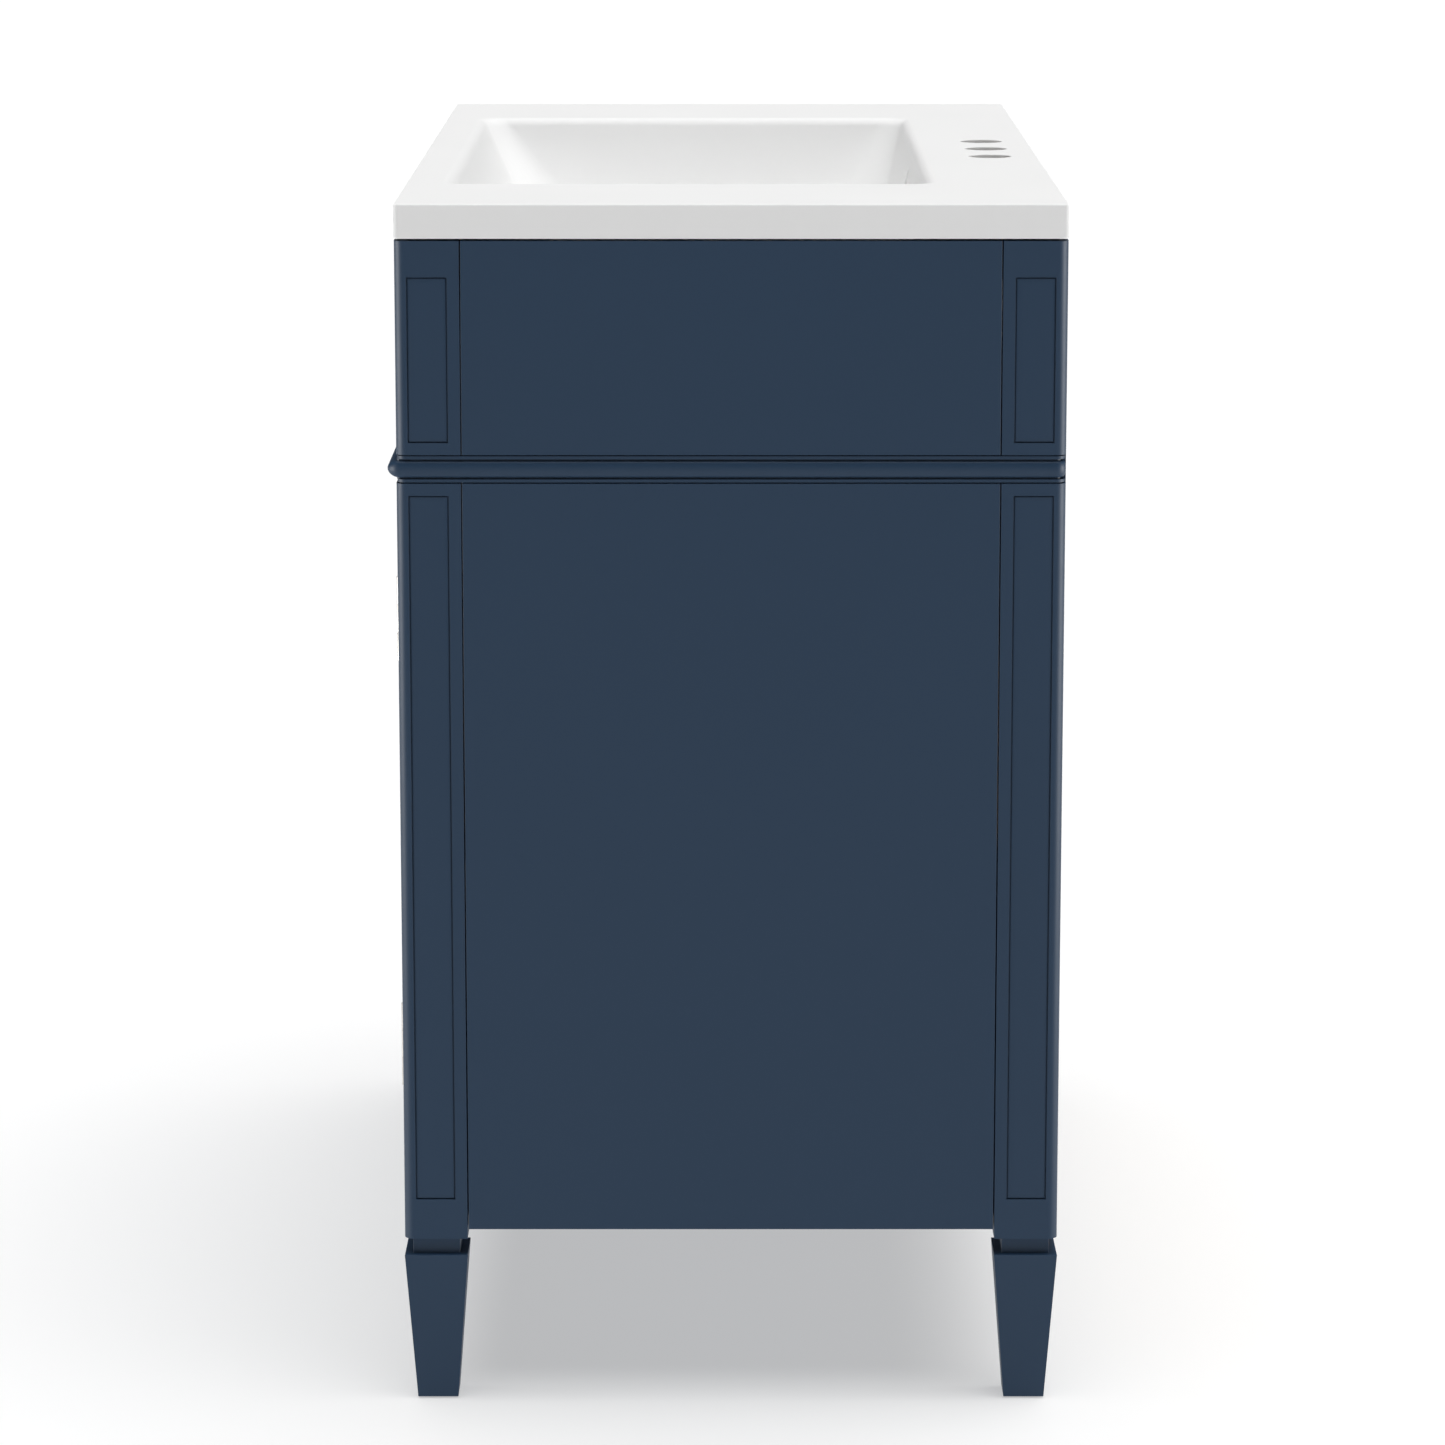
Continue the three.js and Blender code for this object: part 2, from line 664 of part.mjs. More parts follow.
function basinHollow() {
  const rings = basinStations().map(([depth, sideways]) => basinRing(depth, sideways, 0));
  const mouth = basinRing(0, -BASIN.rimRound, 0).map(([x, y, z]) => [x, y, z + 2]);
  return loft([...rings, mouth]);
}

function basinShell() {
  const below = basinStations().filter(([depth]) => depth > BASIN.rimRound);
  const rings = below.map(([depth, sideways]) => basinRing(depth, sideways, BASIN.wall));
  const lowered = rings.map((ring) => ring.map(([x, y, z]) => [x, y, z - BASIN.wall]));
  const root = basinRing(TOP_THICKNESS - 2, 0, BASIN.wall);
  return loft([...lowered, root]);
}

function countertop() {
  const slab = boxBetween([-HALF_WIDTH, FRONT, TOP_UNDERSIDE], [HALF_WIDTH, BACK, HEIGHT]);
  const floorFront = FRONT + BASIN.frontInset + BASIN.frontLean * BASIN.depth;
  const floorBack = BACK - BASIN.backInset - BASIN.backLean * BASIN.depth;
  const drainCentre = [0, (floorFront + floorBack) / 2, HEIGHT - BASIN.depth];
  const tools = [basinHollow(), bar(DRAIN_RADIUS, 8 * BASIN.wall, "z", drainCentre, 28)];
  for (const step of [-1, 0, 1]) {
    const centre = [step * FAUCET_HOLE_SPACING, BACK - FAUCET_HOLE_FROM_BACK, TOP_UNDERSIDE];
    tools.push(bar(FAUCET_HOLE_RADIUS, 4 * TOP_THICKNESS, "z", centre, 28));
  }
  const backWall = BACK - BASIN.backInset - BASIN.backLean * OVERFLOW_DROP;
  const overflowCentre = [0, backWall, HEIGHT - OVERFLOW_DROP];
  tools.push(bar(OVERFLOW_RADIUS, 2 * OVERFLOW_DEPTH, "y", overflowCentre, 20));
  return cut(join([slab, basinShell()]), tools);
}

// ---- assembly ----
const vanity = new THREE.Group();

function addPiece(group, name, geometry, material, position = [0, 0, 0]) {
  const mesh = new THREE.Mesh(geometry, material);
  mesh.name = name;
  mesh.position.set(...position);
  group.add(mesh);
}

addPiece(vanity, "countertop", countertop(), whiteResin);
addPiece(vanity, "moulding_front", frontMoulding(), navyPaint);
addPiece(vanity, "front_rail_top", frontRail(CARCASS_TOP - RAIL_HEIGHT, CARCASS_TOP, 0), navyPaint);
addPiece(vanity, "front_rail_middle", frontRail(BAND_BOTTOM, BAND_TOP, MOULDING_THICKNESS), navyPaint);
addPiece(vanity, "front_rail_bottom", frontRail(PANEL_BOTTOM, PANEL_BOTTOM + RAIL_HEIGHT, 0), navyPaint);
addPiece(vanity, "false_front", falseFront(), navyPaint);
addPiece(vanity, "bottom_panel", bottomPanel(), navyPaint);
addPiece(vanity, "shelf", shelf(), birchPly);
addPiece(vanity, "back_rail_top", backRail(CARCASS_TOP - BACK_RAIL_HEIGHT), birchPly);
addPiece(vanity, "back_rail_bottom", backRail(PANEL_BOTTOM), birchPly);
addPiece(vanity, "magnetic_catch", magneticCatch(), nylon);

// Each side is modelled at the right-hand end, and mirrored for the left.
function addSide(sideName, mirror) {
  const side = new THREE.Group();
  side.scale.x = mirror;
  vanity.add(side);

  addPiece(side, `corner_post_front_${sideName}`, frontPost(), navyPaint);
  addPiece(side, `corner_post_back_${sideName}`, backPost(), navyPaint);
  addPiece(side, `side_panel_${sideName}`, sidePanel(), navyPaint);
  addPiece(side, `moulding_${sideName}`, sideMoulding(), navyPaint);
  addPiece(side, `false_front_cleat_${sideName}`, falseFrontCleat(), birchPly);
  addPiece(side, `corner_block_front_${sideName}`, cornerBlock(FRONT + POST_SIZE, 1), birchPly);
  addPiece(side, `corner_block_back_${sideName}`, cornerBlock(BACK - POST_SIZE, -1), birchPly);

  const legX = HALF_WIDTH - POST_SIZE / 2;
  const legPlaces = { front: FRONT + POST_SIZE / 2, back: BACK - POST_SIZE / 2 };
  for (const [place, y] of Object.entries(legPlaces)) {
    addPiece(side, `leg_${place}_${sideName}`, leg(), navyPaint, [legX, y, 0]);
    addPiece(side, `glide_${place}_${sideName}`, glide(), nylon, [legX, y, 0]);
  }

  const pinPlaces = { front: FRONT + POST_SIZE + PIN_SETBACK, back: BACK - POST_SIZE - PIN_SETBACK };
  for (const [place, y] of Object.entries(pinPlaces)) {
    addPiece(side, `shelf_pin_${place}_${sideName}`, shelfPin(), nickel, [SIDE_INNER, y, pinHeight()]);
  }

  addPiece(side, `door_hinge_stile_${sideName}`, hingeStile(), navyPaint);
  addPiece(side, `door_meeting_stile_${sideName}`, meetingStile(), navyPaint);
  addPiece(side, `door_top_rail_${sideName}`, doorRail(true), navyPaint);
  addPiece(side, `door_bottom_rail_${sideName}`, doorRail(false), navyPaint);
  addPiece(side, `door_panel_${sideName}`, doorPanel(), navyPaint);
  addPiece(side, `strike_plate_${sideName}`, strikePlate(), nickel);
  const knobPlace = [DOOR_INNER + STILE_WIDTH / 2, FRONT, KNOB_HEIGHT_ABOVE_FLOOR];
  addPiece(side, `knob_${sideName}`, knob(), nickel, knobPlace);

  const [lower, upper] = hingeHeights();
  for (const [place, height] of Object.entries({ lower, upper })) {
    addPiece(side, `hinge_door_leaf_${place}_${sideName}`, doorLeaf(height), nickel);
    addPiece(side, `hinge_post_leaf_${place}_${sideName}`, postLeaf(height), nickel);
  }
}

addSide("right", 1);
addSide("left", -1);

export default vanity;
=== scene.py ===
"""The looks of the bathroom vanity cabinet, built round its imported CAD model. Metres, +Z up."""
import json
import math

import bmesh
import bpy
from mathutils import Matrix, Vector


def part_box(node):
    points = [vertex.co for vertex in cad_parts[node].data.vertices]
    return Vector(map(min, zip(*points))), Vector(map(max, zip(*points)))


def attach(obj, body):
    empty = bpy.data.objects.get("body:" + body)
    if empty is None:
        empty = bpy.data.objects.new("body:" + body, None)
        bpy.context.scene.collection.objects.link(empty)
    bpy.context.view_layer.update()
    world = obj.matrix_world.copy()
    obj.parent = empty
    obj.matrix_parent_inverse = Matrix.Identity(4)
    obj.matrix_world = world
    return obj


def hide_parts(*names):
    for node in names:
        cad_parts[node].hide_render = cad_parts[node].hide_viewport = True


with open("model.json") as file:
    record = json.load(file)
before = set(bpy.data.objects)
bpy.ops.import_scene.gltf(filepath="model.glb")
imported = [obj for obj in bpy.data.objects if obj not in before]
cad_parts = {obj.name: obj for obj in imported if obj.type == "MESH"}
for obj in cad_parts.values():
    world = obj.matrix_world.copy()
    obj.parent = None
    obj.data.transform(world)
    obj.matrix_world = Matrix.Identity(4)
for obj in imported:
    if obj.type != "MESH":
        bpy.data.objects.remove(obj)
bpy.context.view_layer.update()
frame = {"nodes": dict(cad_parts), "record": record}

MM = 0.001
SIDES = (("right", 1), ("left", -1))

# ---- measures taken from the frame ----
TOP_LOW, TOP_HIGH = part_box("countertop")
POST_LOW, POST_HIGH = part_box("corner_post_front_right")
_, BLOCK_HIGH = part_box("corner_block_front_right")
BAND_LOW, BAND_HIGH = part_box("moulding_right")
FRONT_BAND_LOW, FRONT_BAND_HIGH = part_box("moulding_front")
FRONT = POST_LOW.y
BACK = TOP_HIGH.y
HALF_WIDTH = POST_HIGH.x
COUNTER_TOP = TOP_HIGH.z
COUNTER_UNDER = BLOCK_HIGH.z

# ---- the countertop, as it is designed ----
BASIN_DEPTH = 112 * MM
BASIN_WALL = COUNTER_TOP - BASIN_DEPTH - TOP_LOW.z
BASIN_FRONT_INSET = 31 * MM
BASIN_BACK_INSET = 91 * MM
BASIN_HALF_LENGTH = 298 * MM
RIM_ROUND = 6 * MM
RIM_CORNER = 18 * MM
FLOOR_CORNER = 58 * MM
FLOOR_FILLET = 34 * MM
FRONT_LEAN = 0.5
BACK_LEAN = 0.25
END_LEAN = 0.45
FLOOR_DISH = 2.5 * MM
DRAIN_RADIUS = 22.5 * MM
DRAIN_SEAT_RADIUS = 31 * MM
DRAIN_SEAT_DEPTH = 3 * MM
DRAIN_CUT = 60 * MM
DRAIN_LIP = 1.5 * MM
OVERFLOW_RADIUS = 13 * MM
OVERFLOW_DROP = 27 * MM
OVERFLOW_DEPTH = 16 * MM
OVERFLOW_LIP = 1 * MM
HOOD_WALL = 4 * MM
HOOD_CHAMFER = 1.5 * MM
FAUCET_RADIUS = 16 * MM
FAUCET_SPACING = 69 * MM
FAUCET_FROM_BACK = 36 * MM
FAUCET_CUT = 40 * MM
FAUCET_LIP = 0.8 * MM
SLAB_CORNER = 3 * MM
SLAB_EDGE = 1.6 * MM
SLAB_FOOT = 0.8 * MM
CUTTER_RISE = 6 * MM
HOLLOW_RISE = 3 * MM
SHELL_ROOT = 2 * MM

# ---- the moulding band, as it is designed ----
POST_CORNER = 7 * MM
NOSE_RADIUS = 9 * MM
BEAD_HALF_HEIGHT = 5.7 * MM
SIDE_RISE = 2.2 * MM
FRONT_RISE = 6.6 * MM
FILLET_RECESS = 0.8 * MM
QUIRK_DEPTH = 1.4 * MM
QUIRK_WIDTH = 1.4 * MM
CORNER_STEPS = 8
NOSE_STEPS = 16
BEAD_STEPS = 20

# ---- plies, hinges and screws ----
PLY_BANDS = 160
LEAF_THICKNESS = 1 * MM
HINGE_SCREW = {"radius": 2.9 * MM, "height": 0.12 * MM, "recess": 0.1 * MM}
HINGE_SCREW_SPACING = 21 * MM
HINGE_SCREW_SETBACK = 6 * MM
KNOB_SCREW = {"radius": 4.8 * MM, "height": 1.8 * MM, "recess": 1.3 * MM}

# ---- shading of the edges ----
SHARP_ANGLE = 30
BEVEL_ANGLE = 28
BEVEL_SEGMENTS = 3
FLAT_FACE_WEIGHT = 80
WELD_DISTANCE = 0.01 * MM


# ---- node helpers ----
def new_material(name):
    """A material with a Principled shader: returns it, its node tree and the shader."""
    material = bpy.data.materials.new(name)
    material.use_nodes = True
    tree = material.node_tree
    return material, tree, tree.nodes["Principled BSDF"]


def add_node(tree, kind, **inputs):
    """A node with the given values on its sockets."""
    node = tree.nodes.new(kind)
    for key, value in inputs.items():
        node.inputs[key].default_value = value
    return node


def object_coordinates(tree, scale=(1, 1, 1)):
    """Object-space coordinates, stretched along each axis."""
    source = tree.nodes.new("ShaderNodeTexCoord")
    mapping = add_node(tree, "ShaderNodeMapping", Scale=scale)
    tree.links.new(source.outputs["Object"], mapping.inputs["Vector"])
    return mapping.outputs["Vector"]


def noise(tree, vector, scale, detail=3.0, roughness=0.5):
    """Noise from 0 to 1. Its scale is in features a metre, before the coordinates are stretched."""
    node = add_node(tree, "ShaderNodeTexNoise", Scale=scale, Detail=detail, Roughness=roughness)
    tree.links.new(vector, node.inputs["Vector"])
    return node.outputs["Fac"]


def ramp(tree, value, stops):
    """A colour ramp through (position, colour) stops."""
    node = tree.nodes.new("ShaderNodeValToRGB")
    elements = node.color_ramp.elements
    while len(elements) < len(stops):
        elements.new(0.5)
    for element, (position, colour) in zip(elements, stops):
        element.position = position
        element.color = (*colour, 1)
    tree.links.new(value, node.inputs["Fac"])
    return node.outputs["Color"]


def spread(tree, value, low, high):
    """Maps 0..1 to low..high."""
    node = add_node(tree, "ShaderNodeMapRange", **{"To Min": low, "To Max": high})
    tree.links.new(value, node.inputs["Value"])
    return node.outputs["Result"]


def bump(tree, shader, height, distance, strength, below=None):
    """Adds a relief to the shader's normal, over an earlier one if there is one."""
    node = add_node(tree, "ShaderNodeBump", Strength=strength, Distance=distance)
    tree.links.new(height, node.inputs["Height"])
    if below is not None:
        tree.links.new(below, node.inputs["Normal"])
    tree.links.new(node.outputs["Normal"], shader.inputs["Normal"])
    return node.outputs["Normal"]


def math_node(tree, operation, value, second=None):
    """One sum on a value, with a fixed second number where it needs one."""
    node = tree.nodes.new("ShaderNodeMath")
    node.operation = operation
    tree.links.new(value, node.inputs[0])
    if second is not None:
        node.inputs[1].default_value = second
    return node.outputs[0]


def blend_colours(tree, share, first, second):
    """The first colour where share is 0, and the second where it is 1."""
    node = tree.nodes.new("ShaderNodeMix")
    node.data_type = "RGBA"
    tree.links.new(share, node.inputs[0])
    tree.links.new(first, node.inputs[6])
    tree.links.new(second, node.inputs[7])
    return node.outputs[2]


# ---- materials ----
def navy_paint():
    """Sprayed satin enamel on wood: fine orange peel, faint grain under it, a little colour drift."""
    material, tree, shader = new_material("navy_paint")
    position = object_coordinates(tree)
    drift = noise(tree, position, 3.0, 1.0)
    colour = ramp(tree, drift, ((0.3, (0.0157, 0.0436, 0.0900)), (0.7, (0.0165, 0.0457, 0.0940))))
    tree.links.new(colour, shader.inputs["Base Color"])
    tree.links.new(spread(tree, noise(tree, position, 60.0), 0.42, 0.50), shader.inputs["Roughness"])
    grain = noise(tree, object_coordinates(tree, (900, 900, 18)), 1.0, 3.0)
    peel = noise(tree, position, 650.0, 2.0)
    first = bump(tree, shader, grain, 0.00002, 0.5)
    bump(tree, shader, peel, 0.00003, 0.6, first)
    shader.inputs["Specular IOR Level"].default_value = 0.3
    return material


def white_resin():
    """Cast gel-coated resin: near white and satin, with the faintest clouding."""
    material, tree, shader = new_material("white_resin")
    position = object_coordinates(tree)
    cloud = noise(tree, position, 4.0, 1.0)
    colour = ramp(tree, cloud, ((0.3, (0.959, 0.959, 0.956)), (0.7, (0.965, 0.965, 0.963))))
    tree.links.new(colour, shader.inputs["Base Color"])
    tree.links.new(spread(tree, noise(tree, position, 12.0, 1.0), 0.38, 0.44), shader.inputs["Roughness"])
    bump(tree, shader, noise(tree, position, 14.0, 1.0), 0.00002, 0.2)
    shader.inputs["Specular IOR Level"].default_value = 0.05
    return material


def veneer_colour(tree):
    """Pale birch veneer, its grain stretched along X."""
    grain = noise(tree, object_coordinates(tree, (3.5, 60, 60)), 1.0, 6.0, 0.6)
    pale, mid, dark = (0.66, 0.50, 0.32), (0.57, 0.41, 0.245), (0.45, 0.305, 0.17)
    return ramp(tree, grain, ((0.28, dark), (0.45, mid), (0.62, pale)))


def ply_colour(tree, thickness_axis):
    """The light and dark layers that show on a board's edges."""
    plies = tree.nodes.new("ShaderNodeTexWave")
    plies.wave_profile = "SIN"
    plies.bands_direction = thickness_axis
    plies.inputs["Scale"].default_value = PLY_BANDS
    plies.inputs["Distortion"].default_value = 0.6
    tree.links.new(object_coordinates(tree), plies.inputs["Vector"])
    return ramp(tree, plies.outputs["Fac"], ((0.35, (0.36, 0.23, 0.12)), (0.6, (0.60, 0.44, 0.27))))


def on_board_edge(tree, thickness_axis):
    """1 on the faces that look sideways from a board's thickness, and 0 on its two broad faces."""
    facing = tree.nodes.new("ShaderNodeNewGeometry")
    parts = tree.nodes.new("ShaderNodeSeparateXYZ")
    tree.links.new(facing.outputs["Normal"], parts.inputs["Vector"])
    along = math_node(tree, "ABSOLUTE", parts.outputs[thickness_axis])
    return math_node(tree, "LESS_THAN", along, 0.5)


def birch_plywood(name, thickness_axis):
    """Birch plywood: veneer on the broad faces, plies on the edges."""
    material, tree, shader = new_material(name)
    veneer = veneer_colour(tree)
    plies = ply_colour(tree, thickness_axis)
    colour = blend_colours(tree, on_board_edge(tree, thickness_axis), veneer, plies)
    tree.links.new(colour, shader.inputs["Base Color"])
    fine = noise(tree, object_coordinates(tree, (25, 900, 900)), 1.0, 4.0)
    tree.links.new(spread(tree, fine, 0.5, 0.68), shader.inputs["Roughness"])
    bump(tree, shader, fine, 0.00006, 0.5)
    shader.inputs["Specular IOR Level"].default_value = 0.3
    return material


def satin_nickel():
    """Brushed and lacquered nickel, with fine turning marks."""
    material, tree, shader = new_material("satin_nickel")
    position = object_coordinates(tree)
    brushed = noise(tree, object_coordinates(tree, (260, 260, 2600)), 1.0, 3.0)
    cloud = noise(tree, position, 120.0)
    tone = ramp(tree, cloud, ((0.3, (0.52, 0.50, 0.47)), (0.7, (0.60, 0.58, 0.55))))
    tree.links.new(tone, shader.inputs["Base Color"])
    shader.inputs["Metallic"].default_value = 1.0
    tree.links.new(spread(tree, brushed, 0.24, 0.36), shader.inputs["Roughness"])
    bump(tree, shader, brushed, 0.00001, 0.3)
    return material


def black_nylon():
    """Moulded nylon with a fine spark-eroded texture."""
    material, tree, shader = new_material("black_nylon")
    position = object_coordinates(tree)
    cloud = noise(tree, position, 300.0)
    tone = ramp(tree, cloud, ((0.3, (0.018, 0.018, 0.02)), (0.7, (0.03, 0.03, 0.032))))
    tree.links.new(tone, shader.inputs["Base Color"])
    tree.links.new(spread(tree, noise(tree, position, 500.0), 0.5, 0.65), shader.inputs["Roughness"])
    bump(tree, shader, noise(tree, position, 1500.0, 2.0), 0.00004, 0.5)
    return material


MATERIALS = {
    "navy_paint": navy_paint(),
    "white_resin": white_resin(),
    "birch_plywood": birch_plywood("birch_plywood", "Z"),
    "satin_nickel": satin_nickel(),
    "black_nylon": black_nylon(),
}
UPRIGHT_PLYWOOD = birch_plywood("birch_plywood_upright", "Y")
UPRIGHT_BOARDS = ("back_rail", "false_front_cleat")
SLOT_OF = {row["node"]: row["material_slot"] for row in frame["record"]["subparts"]}


# ---- mesh helpers ----
def mesh_object(name, vertices, faces):
    """A new object in the scene, from points and faces."""
    mesh = bpy.data.meshes.new(name)
    mesh.from_pydata(vertices, [], faces)
    piece = bpy.data.objects.new(name, mesh)
    bpy.context.scene.collection.objects.link(piece)
    return piece


def tidy_mesh(piece):
    """Merges doubled points, turns faces outwards, and marks the edges that stay sharp."""
    mesh = bmesh.new()
    mesh.from_mesh(piece.data)
    bmesh.ops.remove_doubles(mesh, verts=mesh.verts, dist=0.002 * MM)
    bmesh.ops.dissolve_degenerate(mesh, edges=mesh.edges, dist=0.001 * MM)
    bmesh.ops.recalc_face_normals(mesh, faces=mesh.faces)
    for face in mesh.faces:
        face.smooth = True
    limit = math.radians(SHARP_ANGLE)
    for edge in mesh.edges:
        edge.smooth = len(edge.link_faces) == 2 and edge.calc_face_angle() < limit
    mesh.to_mesh(piece.data)
    mesh.free()


def loft(name, rings):
    """A body through rings of equal length. Its first and last rings are closed with one face each."""
    count = len(rings[0])
    vertices = [point for ring in rings for point in ring]
    faces = []
    for level in range(len(rings) - 1):
        low = level * count
        for i in range(count):
            following = (i + 1) % count
            faces.append((low + i, low + following, low + count + following, low + count + i))
    faces.append(tuple(reversed(range(count))))
    faces.append(tuple(range(len(vertices) - count, len(vertices))))
    piece = mesh_object(name, vertices, faces)
    tidy_mesh(piece)
    return piece


def lathe(name, profile, place, axis=(0, 0, 1), sides=64):
    """A turned piece: its profile is (radius, height) pairs along the axis, from a point."""
    turn = Vector((0, 0, 1)).rotation_difference(Vector(axis)).to_matrix()
    rings = []
    for radius, height in profile:
        ring = []
        for i in range(sides):
            angle = 2 * math.pi * i / sides
            local = Vector((radius * math.cos(angle), radius * math.sin(angle), height))
            ring.append(Vector(place) + turn @ local)
        rings.append(ring)
    return loft(name, rings)


def combine(piece, tool, operation):
    """Joins a solid with another or cuts it, and removes the tool."""
    modifier = piece.modifiers.new("combine", "BOOLEAN")
    modifier.object = tool
    modifier.operation = operation
    modifier.solver = "EXACT"
    shaped = piece.evaluated_get(bpy.context.evaluated_depsgraph_get())
    mesh = bpy.data.meshes.new_from_object(shaped)
    piece.modifiers.clear()
    piece.data = mesh
    bpy.data.objects.remove(tool)


def weigh_normals(piece):
    """Flat faces stay flat in shading, and the rounds between them turn smoothly."""
    weighted = piece.modifiers.new("flat_faces", "WEIGHTED_NORMAL")
    weighted.keep_sharp = True
    weighted.weight = FLAT_FACE_WEIGHT


def add_finish(piece, slot, body, *nodes):
    """Gives a new piece the material of its slot, puts it on its body, and hides the CAD nodes it stands
    for.
    """
    piece.data.materials.clear()
    piece.data.materials.append(MATERIALS[slot])
    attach(piece, body)
    if nodes:
        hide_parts(*nodes)


# ---- countertop with its basin ----
def rounded_ring(half_length, front, back, radius, height, arc_steps=12, long_steps=10, short_steps=5):
    """A level rounded rectangle, with the same number of points whatever its size."""
    corners = (
        (half_length - radius, back - radius, 0, long_steps),
        (radius - half_length, back - radius, 90, short_steps),
        (radius - half_length, front + radius, 180, long_steps),
        (half_length - radius, front + radius, 270, short_steps),
    )
    ring = []
    for index, (x, y, start, steps) in enumerate(corners):
        for i in range(arc_steps + 1):
            angle = math.radians(start + 90 * i / arc_steps)
            ring.append(Vector((x + radius * math.cos(angle), y + radius * math.sin(angle), height)))
        next_x, next_y, next_start, _ = corners[(index + 1) % 4]
        turn = math.radians(next_start)
        following = Vector((next_x + radius * math.cos(turn), next_y + radius * math.sin(turn), height))
        last = ring[-1]
        ring.extend(last.lerp(following, i / steps) for i in range(1, steps))
    return ring


def basin_ring(depth, sideways, grow=0.0, lower=0.0):
    """The basin's outline at a depth: sideways moves it inwards, and grow is the wall's thickness."""
    share = min(depth / BASIN_DEPTH, 1)
    radius = RIM_CORNER + (FLOOR_CORNER - RIM_CORNER) * share
    return rounded_ring(
        BASIN_HALF_LENGTH - END_LEAN * depth - sideways + grow,
        FRONT + BASIN_FRONT_INSET + FRONT_LEAN * depth + sideways - grow,
        BACK - BASIN_BACK_INSET - BACK_LEAN * depth - sideways + grow,
        radius + grow,
        COUNTER_TOP - depth - lower,
    )


def rim_stations(steps=10):
    """(depth, sideways) pairs down the round of the basin's rim."""
    angles = [math.pi / 2 * i / steps for i in range(steps + 1)]
    return [(RIM_ROUND * (1 - math.cos(a)), -RIM_ROUND * (1 - math.sin(a))) for a in angles]


def foot_stations(steps=16):
    """(depth, sideways) pairs down the round between the basin's walls and its floor."""
    angles = [math.pi / 2 * i / steps for i in range(steps + 1)]
    deepest = BASIN_DEPTH - FLOOR_DISH
    return [
        (deepest - FLOOR_FILLET * (1 - math.sin(a)), FLOOR_FILLET * (1 - math.cos(a))) for a in angles
    ]


def drain_centre():
    """The middle of the basin's floor, where the drain is."""
    foot = basin_ring(BASIN_DEPTH, FLOOR_FILLET)
    depths = [point.y for point in foot]
    return Vector((0, (min(depths) + max(depths)) / 2, COUNTER_TOP - BASIN_DEPTH))


def dished_rings(foot, steps=8):
    """Rings from the foot of the walls to the drain, which fall gently on the way."""
    centre = drain_centre()
    rings = []
    for i in range(1, steps + 1):
        share = i / steps
        ring = []
        for point in foot:
            outward = Vector((point.x - centre.x, point.y - centre.y, 0))
            inner = centre + outward.normalized() * DRAIN_RADIUS * 0.5
            place = point.lerp(inner, share)
            place.z = foot[0].z - FLOOR_DISH * math.sin(share * math.pi / 2)
            ring.append(place)
        rings.append(ring)
    return rings


def basin_hollow():
    """What the basin takes out of the slab and its shell."""
    stations = rim_stations() + foot_stations()
    rings = [basin_ring(depth, sideways) for depth, sideways in stations]
    mouth = [point + Vector((0, 0, HOLLOW_RISE)) for point in rings[0]]
    return loft("basin_hollow", [mouth, *rings, *dished_rings(rings[-1])])


def basin_shell():
    """The bowl's outside: the hollow grown by the wall's thickness."""
    root = basin_ring(COUNTER_TOP - COUNTER_UNDER - SHELL_ROOT, 0, BASIN_WALL)
    lower = BASIN_WALL - FLOOR_DISH
    rings = [basin_ring(depth, sideways, BASIN_WALL, lower) for depth, sideways in foot_stations()]
    return loft("basin_shell", [root, *rings])


def slab(steps=5):
    """The flat of the countertop, with a small chamfer below and a rounded edge above."""
    stations = [(SLAB_FOOT, COUNTER_UNDER), (0, COUNTER_UNDER + SLAB_FOOT)]
    for i in range(steps + 1):
        angle = math.pi / 2 * i / steps
        inset = SLAB_EDGE * (1 - math.cos(angle))
        stations.append((inset, COUNTER_TOP - SLAB_EDGE * (1 - math.sin(angle))))
    rings = [
        rounded_ring(HALF_WIDTH - inset, FRONT + inset, BACK - inset, SLAB_CORNER - inset, height, 6, 1, 1)
        for inset, height in stations
    ]
    return loft("countertop_slab", rings)


def round_cutter(radius, depth, lip, place, axis=(0, 0, 1), seat=None, steps=5):
    """A round cutter whose mouth is rounded by a lip. Its origin is on the face, and it cuts below it.

    The seat, where there is one, is the (radius, depth) of a wider step round the mouth.
    """
    mouth = radius if seat is None else seat[0]
    profile = [(radius, -depth)]
    if seat is not None:
        profile += [(radius, -seat[1]), (mouth, -seat[1])]
    for i in range(steps + 1):
        angle = math.pi / 2 * i / steps
        profile.append((mouth + lip * (1 - math.cos(angle)), -lip * (1 - math.sin(angle))))
    profile.append((mouth + lip, CUTTER_RISE))
    return lathe("round_cutter", profile, place, axis)


def overflow_hood(place, out_of_wall):
    """The casting's cup behind the overflow hole, which closes it off from the cabinet."""
    deep = OVERFLOW_DEPTH + HOOD_WALL
    wide = OVERFLOW_RADIUS + HOOD_WALL
    profile = [(wide - HOOD_CHAMFER, -deep), (wide, HOOD_CHAMFER - deep), (wide, -BASIN_WALL / 2)]
    return lathe("overflow_hood", profile, place, out_of_wall)


